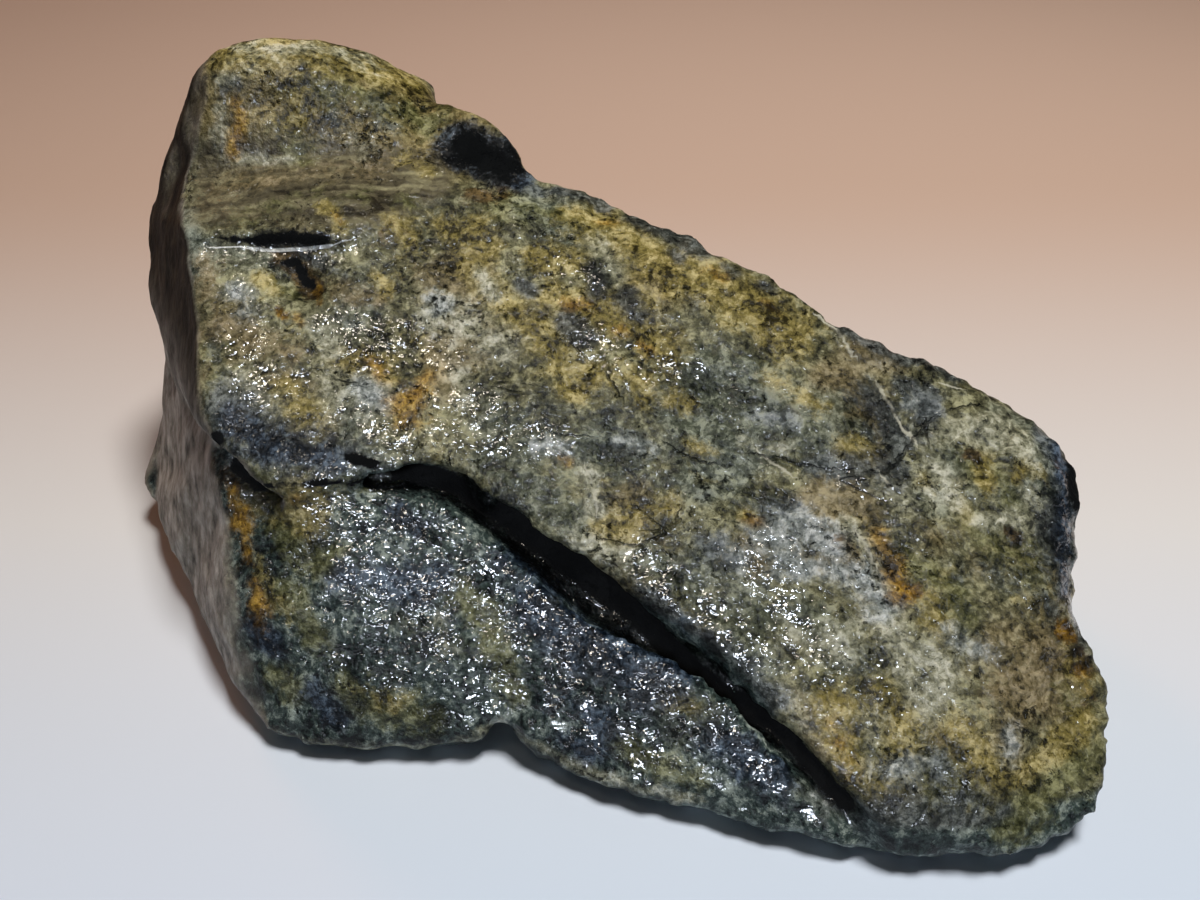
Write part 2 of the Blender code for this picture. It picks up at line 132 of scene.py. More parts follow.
STAIN_MARKS = {
    # Tan and yellow weathering, strongest in a band along the far edge.
    "ochre": (
        Mark(11, 1.0, ((228, 50), (280, 45), (340, 55), (400, 75))),
        Mark(5, 0.8, ((285, 92), (303, 105), (292, 120))),
        Mark(4, 0.7, ((405, 160), (430, 172))),
        Mark(3, 0.9, ((322, 205), (335, 218), (342, 228))),
        Mark(6, 0.8, ((395, 225), (410, 250))),
        Mark(5, 1.0, ((478, 225), (490, 245), (484, 262))),
        Mark(7, 0.9, ((470, 262), (490, 285), (500, 303))),
        Mark(8, 0.8, ((505, 305), (530, 330), (548, 352))),
        Mark(11, 1.0, ((590, 215), (618, 232), (655, 258), (700, 280), (745, 302), (790, 330))),
        Mark(8, 0.8, ((545, 260), (575, 265))),
        Mark(8, 0.9, ((560, 300), (600, 310), (640, 330), (665, 345))),
        Mark(8, 0.6, ((555, 365), (600, 372), (650, 380))),
        Mark(4, 1.0, ((566, 388), (580, 392))),
        Mark(6, 0.7, ((440, 225), (462, 250))),
        Mark(6, 0.9, ((340, 358), (362, 366), (385, 372))),
        Mark(8, 1.0, ((282, 400), (300, 418), (316, 432))),
        Mark(3, 0.8, ((375, 275), (388, 290))),
        Mark(4, 0.7, ((262, 278), (275, 290))),
        Mark(5, 0.45, ((770, 378), (800, 390), (815, 408))),
        Mark(4, 0.8, ((672, 398), (690, 404))),
        Mark(5, 0.8, ((846, 450), (866, 462))),
        Mark(4, 0.5, ((690, 450), (716, 452))),
        Mark(6, 0.8, ((612, 530), (640, 515), (668, 508))),
        Mark(3, 0.9, ((745, 512), (760, 528))),
        Mark(4, 0.7, ((960, 440), (985, 460), (990, 490))),
        Mark(3, 1.0, ((1026, 462), (1018, 478))),
        Mark(4, 0.6, ((955, 490), (965, 512))),
        Mark(5, 0.8, ((860, 530), (868, 545))),
        Mark(6, 0.9, ((826, 705), (846, 735), (850, 770))),
        Mark(9, 0.7, ((880, 700), (905, 745), (880, 785))),
        Mark(8, 0.8, ((965, 730), (990, 765))),
        Mark(5, 0.9, ((1085, 722), (1055, 745), (1022, 772))),
        Mark(4, 0.9, ((1062, 622), (1072, 640))),
        Mark(4, 0.9, ((1078, 665), (1088, 690))),
        Mark(5, 0.6, ((930, 600), (945, 640))),
        Mark(7, 0.7, ((250, 500), (290, 502), (330, 500))),
        Mark(4, 0.7, ((275, 600), (292, 622))),
        Mark(8, 1.3, ((258, 488), (272, 500), (296, 510))),
        Mark(6, 1.1, ((300, 490), (318, 500), (312, 530))),
        Mark(5, 1.1, ((256, 560), (268, 600))),
        Mark(5, 0.9, ((365, 690), (395, 705))),
        Mark(4, 1.0, ((670, 700), (690, 706))),
    ),
    # Iron rust that has soaked in.
    "rust": (
        Mark(3, 1.0, ((236, 102), (240, 120), (236, 138), (232, 152))),
        Mark(1.6, 0.9, ((334, 214), (341, 222))),
        Mark(1.8, 1.0, ((318, 290), (319, 302))),
        Mark(2.2, 0.8, ((280, 312), (286, 318))),
        Mark(2.0, 0.7, ((296, 316), (300, 322))),
        Mark(6, 1.0, ((402, 404), (416, 392), (432, 372))),
        Mark(5, 0.9, ((405, 425), (418, 412))),
        Mark(2.5, 0.8, ((366, 358), (384, 378))),
        Mark(3, 0.8, ((568, 304), (590, 306))),
        Mark(3, 0.8, ((622, 332), (650, 350))),
        Mark(2.5, 0.7, ((600, 222), (614, 224))),
        Mark(2.5, 0.7, ((708, 270), (722, 278))),
        Mark(2.5, 0.7, ((764, 302), (778, 310))),
        Mark(2.5, 0.8, ((748, 518), (758, 524))),
        Mark(4, 1.0, ((878, 535), (888, 556), (895, 578), (900, 592))),
        Mark(2.5, 1.0, ((902, 590), (914, 594))),
        Mark(2.0, 0.7, ((560, 458), (568, 462))),
        Mark(2.5, 0.8, ((1062, 626), (1070, 636))),
        Mark(2.5, 0.7, ((1082, 676), (1088, 690))),
        Mark(4, 0.45, ((838, 725), (852, 755), (846, 780))),
        Mark(4.5, 0.8, ((232, 482), (240, 520), (248, 552))),
        Mark(3.5, 0.7, ((250, 555), (256, 590), (258, 612))),
        Mark(3.0, 0.7, ((262, 488), (300, 500))),
    ),
    # Cloudy cream to lavender-white crystal, and a painted highlight along the front's bottom edge.
    "pale": (
        Mark(3.5, 0.45, ((222, 108), (220, 135), (226, 154))),
        Mark(2.5, 0.4, ((235, 158), (262, 158), (290, 160))),
        Mark(8, 0.45, ((235, 50), (300, 48), (370, 62))),
        Mark(5, 0.4, ((340, 128), (362, 148))),
        Mark(3, 0.7, ((215, 78), (228, 80))),
        Mark(8, 0.9, ((440, 312), (470, 328), (500, 350))),
        Mark(5, 0.9, ((322, 322), (334, 338), (330, 350))),
        Mark(7, 0.9, ((236, 395), (252, 405), (268, 414))),
        Mark(7, 0.6, ((330, 380), (350, 410))),
        Mark(6, 0.7, ((440, 370), (470, 385), (475, 400))),
        Mark(5, 0.6, ((600, 240), (612, 270))),
        Mark(4, 0.8, ((482, 275), (492, 292))),
        Mark(3, 0.8, ((588, 472), (594, 492), (596, 508))),
        Mark(3, 0.7, ((575, 540), (600, 548), (628, 560))),
        Mark(4, 0.6, ((745, 445), (790, 450))),
        Mark(4, 0.9, ((868, 480), (892, 490), (905, 505))),
        Mark(6, 0.9, ((935, 430), (962, 436), (1002, 428))),
        Mark(6, 0.8, ((936, 470), (950, 500))),
        Mark(4, 0.8, ((985, 520), (1010, 520), (1030, 522))),
        Mark(5, 0.8, ((1020, 440), (1032, 460))),
        Mark(5, 0.8, ((1030, 490), (1042, 510))),
        Mark(4, 0.9, ((845, 525), (868, 545), (880, 570))),
        Mark(5, 0.8, ((870, 580), (885, 610), (892, 645))),
        Mark(4, 0.8, ((896, 655), (912, 690))),
        Mark(5, 1.0, ((925, 655), (940, 664), (944, 680))),
        Mark(4, 0.8, ((935, 690), (930, 705))),
        Mark(4, 0.5, ((875, 715), (870, 765))),
        Mark(5, 0.6, ((775, 690), (785, 700))),
        Mark(6, 0.5, ((790, 640), (850, 640))),
        Mark(3, 0.6, ((1085, 640), (1094, 660))),
        Mark(4, 0.7, ((440, 618), (446, 650))),
        # Painted highlight: light thrown back from the table onto the front's bottom edge.
        Mark(3, 0.9, ((268, 736), (320, 743), (400, 747), (460, 742), (500, 735))),
        Mark(3, 0.9, ((516, 736), (580, 770), (640, 790), (700, 800))),
    ),
    # Blue-white frosted patches.
    "frost": (
        Mark(7, 1.0, ((765, 538), (800, 528), (832, 545))),
        Mark(6, 0.8, ((780, 560), (815, 565), (850, 572))),
        Mark(5, 0.8, ((860, 575), (882, 605))),
        Mark(4, 0.9, ((915, 402), (932, 408))),
        Mark(5, 0.7, ((232, 292), (252, 308))),
        Mark(4, 0.7, ((340, 318), (356, 328))),
        Mark(5, 0.7, ((362, 385), (382, 402))),
        Mark(4, 0.6, ((722, 545), (745, 560))),
        Mark(4, 0.35, ((620, 440), (650, 455))),
        Mark(4, 0.6, ((545, 445), (560, 448))),
        Mark(3, 0.4, ((752, 412), (800, 425))),
        Mark(4, 0.6, ((432, 298), (448, 310))),
        Mark(6, 0.6, ((1048, 440), (1060, 455))),
        Mark(5, 0.5, ((900, 770), (940, 760))),
        Mark(5, 0.6, ((955, 640), (985, 650))),
        Mark(5, 0.6, ((1008, 735), (1016, 750))),
        Mark(5, 0.5, ((560, 655), (620, 690))),
        Mark(6, 0.5, ((700, 720), (760, 745))),
        Mark(8, 0.5, ((800, 800), (860, 825))),
    ),
    # Dark blue-grey mineral, and painted shade along the far and right edges and under the slab's lip.
    "slate": (
        Mark(2.5, 0.45, ((222, 90), (240, 86))),
        Mark(4, 0.4, ((320, 125), (360, 118), (395, 128))),
        Mark(4, 0.5, ((372, 98), (392, 104))),
        Mark(4, 0.9, ((305, 256), (318, 262))),
        Mark(3, 0.7, ((325, 268), (345, 274))),
        Mark(3.5, 1.0, ((592, 268), (600, 282), (596, 292))),
        Mark(3.5, 1.0, ((626, 296), (630, 308), (638, 318))),
        Mark(4.5, 1.0, ((568, 318), (578, 330), (584, 336))),
        Mark(3, 1.0, ((520, 284), (530, 290))),
        Mark(3, 0.9, ((672, 250), (680, 258))),
        Mark(3, 0.8, ((728, 268), (736, 274))),
        Mark(4, 0.6, ((692, 302), (702, 322))),
        Mark(3, 0.7, ((764, 284), (772, 288))),
        Mark(6, 0.4, ((700, 375), (740, 385), (780, 420))),
        Mark(6, 0.9, ((868, 395), (885, 415), (898, 440))),
        Mark(5, 0.9, ((905, 385), (930, 392), (925, 430))),
        Mark(6, 0.9, ((815, 462), (850, 474), (890, 470))),
        Mark(4, 0.5, ((700, 492), (750, 505), (790, 500))),
        Mark(4, 0.7, ((700, 540), (715, 548), (722, 560))),
        Mark(5, 0.4, ((480, 385), (540, 395), (560, 420))),
        # Painted shade in the next six marks: the dark band where the far and right edges turn away from
        # the lamps.
        Mark(5, 1.0, ((526, 186), (560, 192), (604, 198))),
        Mark(5, 1.0, ((632, 218), (660, 230), (704, 250))),
        Mark(5, 0.9, ((840, 326), (880, 348), (930, 362), (965, 376))),
        Mark(6, 1.0, ((1052, 442), (1060, 490), (1058, 540), (1064, 588))),
        Mark(6, 1.0, ((1070, 460), (1074, 520), (1070, 570))),
        Mark(5, 0.8, ((1085, 610), (1092, 640))),
        Mark(10, 1.2, ((228, 416), (250, 436), (290, 450), (340, 458))),
        Mark(3, 0.5, ((212, 330), (222, 380))),
        Mark(9, 1.0, ((880, 825), (930, 830), (985, 835))),
        Mark(7, 0.6, ((975, 800), (940, 805))),
        Mark(6, 0.6, ((1040, 600), (1060, 620))),
        Mark(6, 0.5, ((960, 560), (1010, 580))),
        # Painted shade: the dimly lit underside of the slab's lip.
        Mark(6, 1.3, ((652, 600), (690, 636), (730, 668), (766, 700)), True),
    ),
    # Green-brown moss-coloured skin.
    "olive": (
        Mark(9, 0.7, ((330, 85), (400, 110), (440, 120))),
        Mark(7, 0.7, ((290, 135), (300, 150))),
        Mark(7, 0.4, ((250, 210), (330, 195), (400, 205))),
        Mark(7, 0.7, ((500, 205), (560, 215), (600, 235))),
        Mark(5, 0.9, ((262, 470), (270, 476))),
        Mark(5, 0.7, ((268, 285), (290, 292))),
        Mark(6, 0.7, ((218, 350), (222, 400))),
        Mark(6, 0.7, ((780, 450), (800, 460))),
        Mark(7, 0.6, ((735, 490), (750, 495))),
        Mark(8, 0.7, ((900, 560), (940, 590), (960, 620))),
        Mark(10, 0.6, ((960, 520), (1010, 560), (1040, 590))),
        Mark(10, 0.8, ((1010, 830), (1040, 800), (1070, 770))),
        Mark(10, 0.7, ((1080, 760), (1092, 700))),
        Mark(9, 1.0, ((880, 760), (930, 775), (970, 790))),
        Mark(7, 0.6, ((820, 690), (880, 690))),
        Mark(7, 0.7, ((960, 450), (1000, 480), (1010, 500))),
        Mark(7, 1.2, ((455, 592), (475, 603), (490, 618))),
        Mark(6, 1.1, ((490, 620), (502, 660), (516, 690))),
        Mark(8, 1.1, ((350, 690), (395, 712), (434, 718))),
        Mark(8, 1.2, ((278, 530), (300, 550), (330, 560))),
        Mark(7, 1.2, ((275, 590), (300, 612), (312, 632))),
        Mark(6, 1.0, ((272, 676), (300, 690))),
        Mark(5, 0.9, ((355, 570), (372, 590))),
        Mark(6, 1.1, ((662, 694), (690, 704), (712, 722))),
        Mark(6, 0.9, ((620, 740), (650, 765), (700, 780))),
        Mark(6, 0.9, ((300, 480), (340, 478), (385, 480))),
    ),
    # Cool grey-green skin along the lip and over the middle.
    "ash": (
        Mark(7, 1.0, ((500, 460), (540, 500), (590, 530), (650, 560))),
        Mark(8, 1.0, ((640, 560), (690, 590), (730, 630), (760, 670))),
        Mark(8, 0.8, ((700, 560), (740, 590), (760, 620))),
        Mark(7, 0.7, ((560, 450), (610, 455), (640, 470))),
        Mark(6, 0.7, ((480, 400), (510, 430), (540, 450))),
        Mark(11, 1.5, ((690, 375), (750, 390), (830, 432))),
        Mark(9, 1.3, ((700, 412), (750, 425))),
        Mark(7, 0.7, ((640, 470), (690, 490), (760, 500))),
        Mark(7, 0.7, ((800, 610), (840, 640), (860, 670))),
        Mark(7, 0.7, ((560, 240), (600, 262))),
        Mark(6, 0.8, ((400, 620), (440, 640), (480, 655))),
        Mark(6, 0.9, ((640, 660), (662, 700), (680, 735))),
        Mark(6, 0.8, ((770, 775), (820, 800), (850, 815))),
        Mark(6, 0.8, ((330, 640), (350, 665), (390, 680))),
        Mark(5, 0.8, ((318, 500), (335, 520), (340, 545))),
    ),
    # Navy-black fresh stone on the broken front, and painted shade in the recess behind the upper block
    # and along the right edge.
    "navy": (
        Mark(7, 1.0, ((238, 428), (262, 440), (300, 450), (325, 456))),
        # Painted shade: the recess behind the upper block, and the right edge where it turns away from
        # the lamps.
        Mark(9, 1.6, ((462, 148), (480, 156), (505, 168))),
        Mark(4, 0.9, ((1058, 450), (1066, 500), (1064, 560), (1068, 590))),
        Mark(4, 0.9, ((397, 510), (420, 530))),
        Mark(7, 1.0, ((345, 575), (400, 588), (440, 580))),
        Mark(5, 1.0, ((254, 624), (276, 648))),
        Mark(6, 0.9, ((312, 692), (336, 716))),
        Mark(13, 1.1, ((540, 600), (600, 640), (660, 668))),
        Mark(8, 0.9, ((512, 560), (550, 585))),
        Mark(8, 1.0, ((718, 736), (745, 755), (774, 778))),
        Mark(8, 0.9, ((555, 700), (600, 722))),
        Mark(6, 0.8, ((560, 740), (600, 752))),
    ),
    # Dark brown earth.
    "umber": (
        Mark(5, 1.1, ((282, 258), (298, 270), (316, 290))),
        Mark(2.0, 1.0, ((280, 311), (283, 316))),
        Mark(3, 0.7, ((420, 388), (430, 392))),
        Mark(2.2, 1.0, ((966, 454), (976, 456))),
        Mark(2.2, 1.0, ((1009, 530), (1017, 539))),
        Mark(2.6, 0.9, ((905, 590), (916, 592))),
        Mark(6, 0.8, ((232, 500), (246, 560), (258, 610))),
        Mark(4, 0.9, ((228, 470), (236, 490))),
        Mark(7, 0.5, ((385, 235), (420, 262))),
        Mark(5, 0.8, ((500, 195), (470, 192))),
        Mark(3, 0.9, ((1063, 628), (1066, 632))),
        Mark(5, 0.6, ((1080, 655), (1096, 700))),
        Mark(4, 0.7, ((845, 540), (852, 548))),
    ),
    # Pinkish tan weathering low on the right.
    "tan": (
        Mark(5, 0.6, ((208, 262), (214, 300), (222, 350))),
        Mark(12, 0.9, ((1010, 690), (1040, 680), (1075, 700))),
        Mark(8, 0.7, ((1020, 650), (1060, 660))),
        Mark(7, 0.6, ((930, 540), (960, 530))),
        Mark(6, 0.6, ((300, 268), (340, 290), (380, 300))),
        Mark(6, 0.6, ((250, 340), (290, 350))),
        Mark(6, 0.6, ((270, 380), (310, 385))),
        Mark(4, 0.8, ((645, 546), (660, 544))),
        Mark(7, 0.5, ((230, 185), (300, 175), (380, 168))),
        Mark(5, 0.5, ((1040, 720), (1070, 712))),
    ),
    # Painted shade, near black: the slot, the recess behind the upper block, the right edge and the
    # crevice under the slab's lip; and wet dirt in the small pits.
    "black": (
        Mark(2.6, 1.0, ((258, 240), (290, 238), (324, 240)), True),
        Mark(1.6, 0.9, ((218, 239), (240, 241), (262, 241)), True),
        Mark(1.9, 1.1, ((287, 262), (296, 263), (301, 272), (304, 281), (312, 284))),
        Mark(10, 0.9, ((466, 148), (484, 156), (502, 166))),
        Mark(1.2, 0.6, ((966, 454), (978, 456))),
        Mark(1.2, 0.6, ((1010, 531), (1016, 538))),
        Mark(5.0, 1.0, ((1077, 470), (1079, 500)), True),
        Mark(2.4, 1.4, ((216, 438), (238, 466), (262, 488)), True),
        Mark(1.2, 1.0, ((266, 486), (320, 483), (362, 480), (395, 478)), True),
        Mark(1.5, 1.3, ((349, 457), (375, 464), (400, 469)), True),
        Mark(3.4, 1.6, ((400, 468), (427, 474), (464, 489)), True),
        Mark(4.2, 1.6, ((464, 489), (500, 510), (522, 522)), True),
        Mark(4.8, 1.6, ((522, 522), (573, 564), (617, 596)), True),
        Mark(3.6, 1.6, ((617, 596), (646, 622), (680, 660)), True),
        Mark(3.2, 1.6, ((680, 660), (724, 697), (772, 718)), True),
        Mark(2.4, 1.6, ((772, 718), (800, 750), (846, 802)), True),
    ),
}

# Where water stands on the stone and glints.
WATER_MARKS = (
    Mark(5, 1.0, ((205, 245), (250, 252), (300, 252), (345, 248))),
    Mark(5, 0.7, ((232, 285), (250, 300))),
    Mark(7, 1.0, ((245, 335), (252, 365), (262, 385))),
    Mark(4, 0.8, ((285, 385), (300, 380))),
    Mark(6, 1.0, ((330, 320), (365, 330), (400, 335))),
    Mark(7, 1.0, ((365, 350), (400, 352), (440, 358))),
    Mark(5, 0.9, ((345, 412), (370, 425), (400, 435))),
    Mark(5, 0.9, ((440, 395), (470, 400), (490, 405))),
    Mark(5, 0.8, ((440, 430), (480, 438), (520, 440), (560, 440))),
    Mark(6, 1.0, ((590, 340), (615, 350), (640, 372))),
    Mark(5, 0.8, ((670, 365), (695, 375))),
    Mark(5, 0.5, ((560, 270), (600, 280))),
    Mark(5, 0.7, ((845, 475), (860, 485), (885, 510))),
    Mark(9, 0.9, ((770, 560), (790, 590), (800, 620), (810, 650))),
    Mark(6, 0.9, ((640, 560), (680, 590), (720, 625), (750, 650))),
    Mark(5, 0.8, ((890, 670), (895, 690))),
    Mark(6, 0.7, ((1065, 480), (1070, 560), (1070, 620))),
    Mark(6, 0.7, ((1055, 655), (1070, 700))),
    Mark(5, 0.8, ((470, 150), (500, 165))),
    Mark(11, 1.2, ((345, 500), (370, 525), (360, 555))),
    Mark(13, 1.3, ((400, 500), (440, 515), (476, 545))),
    Mark(8, 1.0, ((350, 575), (385, 605), (430, 600))),
    Mark(8, 0.9, ((430, 630), (455, 660), (475, 685))),
    Mark(6, 0.7, ((330, 650), (365, 662), (395, 672))),
    Mark(6, 0.7, ((308, 610), (335, 630))),
    Mark(7, 0.8, ((497, 520), (520, 545), (555, 575))),
    Mark(10, 1.0, ((505, 600), (540, 630), (550, 670))),
    Mark(9, 0.8, ((570, 600), (610, 640), (625, 675))),
    Mark(8, 1.0, ((505, 700), (550, 715), (600, 728))),
    Mark(6, 1.1, ((630, 742), (645, 760), (662, 776))),
    Mark(5, 1.0, ((660, 690), (690, 708))),
    Mark(6, 1.0, ((712, 712), (735, 730), (748, 742))),
    Mark(6, 1.0, ((765, 772), (790, 788), (812, 796))),
)

# Thin lines: half width in millimetres, and the places each passes.
Line = namedtuple("Line", "half_width places")

CRACKS = (
    Line(0.5, ((605, 540), (632, 546), (652, 541), (672, 528), (678, 516))),
    Line(0.6, ((758, 455), (790, 462), (818, 468), (861, 472), (885, 473), (898, 462))),
    Line(0.5, ((898, 462), (912, 442), (935, 416), (975, 404))),
    Line(0.4, ((572, 344), (584, 356), (604, 372), (620, 394))),
    Line(0.4, ((640, 436), (662, 440), (680, 452), (700, 462), (722, 466))),
    Line(0.4, ((318, 370), (336, 380), (358, 384))),
    Line(0.35, ((548, 430), (566, 436), (590, 436))),
    Line(0.35, ((840, 480), (870, 495), (900, 505))),
    Line(0.4, ((640, 510), (664, 530), (680, 520))),
    Line(0.35, ((925, 425), (930, 450), (928, 470))),
    Line(0.35, ((500, 388), (520, 392))),
)

VEINS = (
    Line(0.5, ((829, 312), (838, 330), (852, 352))),
    Line(0.45, ((878, 386), (890, 404), (903, 428), (914, 440))),
    Line(0.3, ((941, 383), (957, 387))),
    Line(0.5, ((895, 672), (908, 694), (926, 722))),
    Line(0.45, ((860, 534), (872, 560))),
    Line(0.45, ((875, 716), (873, 745), (869, 772))),
    Line(0.3, ((884, 478), (896, 492), (908, 504))),
    Line(0.3, ((760, 452), (772, 462), (790, 474))),
    Line(0.35, ((588, 472), (594, 490), (597, 508))),
)

# Painted highlight: a thin near-white line for the lamp's glint on a thread of water that lies on the
# lower lip of the slot.
PAINTED_GLINT_LINES = (
    Line(0.18, ((213, 248), (244, 247))),
    Line(0.42, ((250, 249), (280, 250), (304, 249), (331, 246))),
    Line(0.22, ((337, 243), (346, 240))),
)

# The edge of the upper slab. The stone under it is dark, wet and broken.
LEDGE = ((216, 436), (245, 462), (268, 487), (300, 480), (350, 466), (400, 458), (436, 460),
         (473, 480), (517, 500), (560, 543), (600, 575), (630, 588), (686, 625), (734, 655),
         (762, 692), (813, 754), (850, 800), (868, 812))

SHELF = Mark(16, 1.0, ((230, 195), (300, 190), (380, 195)))
BEDDED = Mark(12, 1.0, ((220, 168), (300, 168), (380, 172), (420, 180)))
# The far and right edges, where the slab has broken off in sharp crumbs.
JAGGED = Mark(9, 1.0, ((520, 186), (600, 196), (640, 220), (720, 256), (800, 302), (860, 336),
                       (940, 364), (1000, 394), (1048, 436), (1076, 470), (1076, 530),
                       (1072, 590), (1092, 640), (1106, 700)), True)


def view_ray(place):
    """The direction from the eye through a place of the view."""
    focal = LENS / SENSOR * VIEW_WIDTH
    across = (place[0] - VIEW_WIDTH / 2) / focal
    up = (VIEW_HEIGHT / 2 - place[1]) / focal
    forward = Vector((0, math.sin(PITCH), -math.cos(PITCH)))
    upward = Vector((0, math.cos(PITCH), math.sin(PITCH)))
    return (forward + upward * up + Vector((across, 0, 0))).normalized()


def smooth_step(low, high, values):
    share = np.clip((values - low) / (high - low), 0, 1)
    return share * share * (3 - 2 * share)


class Skin:
    """The stone's smooth skin as arrays in millimetres, for painting marks onto its points."""

    def __init__(self, mesh):
        count = len(mesh.vertices)
        self.mesh = mesh
        self.points = np.empty(count * 3, np.float32)
        mesh.vertices.foreach_get("co", self.points)
        self.points = self.points.reshape(-1, 3) / MM
        self.normals = np.empty(count * 3, np.float32)
        mesh.vertices.foreach_get("normal", self.normals)
        self.normals = self.normals.reshape(-1, 3)
        corners = [v.co.copy() for v in mesh.vertices]
        self.tree = BVHTree.FromPolygons(corners, [tuple(p.vertices) for p in mesh.polygons])

    def anchor(self, place):
        """Where the view's ray through this place meets the stone, and the way it faces there. A
        place just off the stone's edge slides in towards the middle of the view."""
        for slide in np.linspace(0, MOST_SLIDE, 12):
            inward = ((1 - slide) * place[0] + slide * VIEW_WIDTH / 2,
                      (1 - slide) * place[1] + slide * VIEW_HEIGHT / 2)
            point, normal, _, _ = self.tree.ray_cast(EYE, view_ray(inward))
            if point is not None:
                return np.array(point) / MM, np.array(normal)
        raise RuntimeError(f"the mark at {place} misses the stone")

    def anchors(self, places):
        return [self.anchor(place) for place in places]

    def along(self, places, turns=False):
        """For each point of the skin: the nearest distance to the line through the places, and that
        distance with a sign for the side of the line that it is on. Unless it turns corners, the
        line stays on the face that it was put on."""
        anchors = self.anchors(places)
        best = np.full(len(self.points), 1e6)
        signed = best.copy()
        for (start, facing), (end, end_facing) in zip(anchors, anchors[1:]):
            run = end - start
            share = np.clip((self.points - start) @ run / max(run @ run, 1e-6), 0, 1)
            offset = self.points - (start + share[:, None] * run)
            distance = np.linalg.norm(offset, axis=1)
            if not turns:
                faces = smooth_step(-0.1, 0.35, self.normals @ ((facing + end_facing) / 2))
                distance = distance + (1 - faces) * 30
            aside = np.cross(facing, run)
            nearer = distance < best
            best = np.where(nearer, distance, best)
            signed = np.where(nearer, distance * np.sign(offset @ aside), signed)
        return best, signed

    def stroke(self, mark):
        distance, _ = self.along(mark.places, mark.turns)
        return np.clip(1 - distance / mark.reach, 0, 1) * mark.strength

    def paint(self, name, marks):
        self.store(name, np.max([self.stroke(mark) for mark in marks], axis=0))

    def draw(self, name, lines, reach=3.0):
        """Stores thin lines as a signed distance in half widths, and where that distance counts."""
        best = np.full(len(self.points), 1e6)
        signed = best.copy()
        for line in lines:
            distance, side = self.along(line.places)
            nearer = distance < best
            best = np.where(nearer, distance, best)
            signed = np.where(nearer, side / line.half_width, signed)
        self.store(name + "_side", np.clip(signed, -20, 20))
        self.store(name + "_near", smooth_step(reach, reach * 0.5, best))

    def below_ledge(self):
        """1 on the dark broken front under the slab's lip, and how close under the lip it is."""
        lip = np.array([point for point, _ in self.anchors(LEDGE)])
        starts, ends = lip[:-1], lip[1:]
        best = np.full(len(self.points), 1e6)
        drop = np.zeros(len(self.points))
        for start, end in zip(starts, ends):
            run = (end - start)[:2]
            flat = self.points[:, :2] - start[:2]
            share = np.clip(flat @ run / max(run @ run, 1e-6), 0, 1)
            distance = np.linalg.norm(flat - share[:, None] * run, axis=1)
            height = start[2] + share * (end - start)[2]
            nearer = distance < best
            best = np.where(nearer, distance, best)
            drop = np.where(nearer, height - self.points[:, 2], drop)
        return smooth_step(0.2, 2.0, drop) * smooth_step(60, 45, best), drop, best

    def store(self, name, values):
        made = self.mesh.attributes.new(name, "FLOAT", "POINT")
        made.data.foreach_set("value", values.astype(np.float32))


# ---------------------------------------------------------------------------------------------
# Node helpers.

def add(tree, kind, links=None, settings=None, **inputs):
    """Adds a node, with its settings, its input values by socket name and its links. An input
    given as a socket is linked, and one given as a number or colour is set. The links dictionary is
    for sockets that share a name, by their number."""
    node = tree.nodes.new(kind)
    for name, value in (settings or {}).items():
        setattr(node, name, value)
    wanted = {name.replace("_", " "): value for name, value in inputs.items()}
    for place, value in {**wanted, **(links or {})}.items():
        socket = node.inputs[place]
        if isinstance(value, bpy.types.NodeSocket):
            tree.links.new(value, socket)
        else:
            socket.default_value = value
    return node


def opaque(channels):
    return (*channels, 1.0)


# ---------------------------------------------------------------------------------------------
# Relief of the skin.

RELIEF_INPUTS = (
    ("Lump Length", "lump_length"), ("Lump Height", "lump_height"),
    ("Crumb Length", "crumb_length"), ("Crumb Height", "crumb_height"),
    ("Grain Length", "grain_length"), ("Grain Height", "grain_height"),
    ("Layer Length", "layer_length"), ("Layer Height", "layer_height"),
    ("Crack Depth", "crack_depth"),
)
# The end's layers run down and to the front, and the shelf's lie level from left to right.
END_LAYERS_TURN = (math.radians(-25), 0, math.radians(-65))
LAYER_STRETCH = 9.0


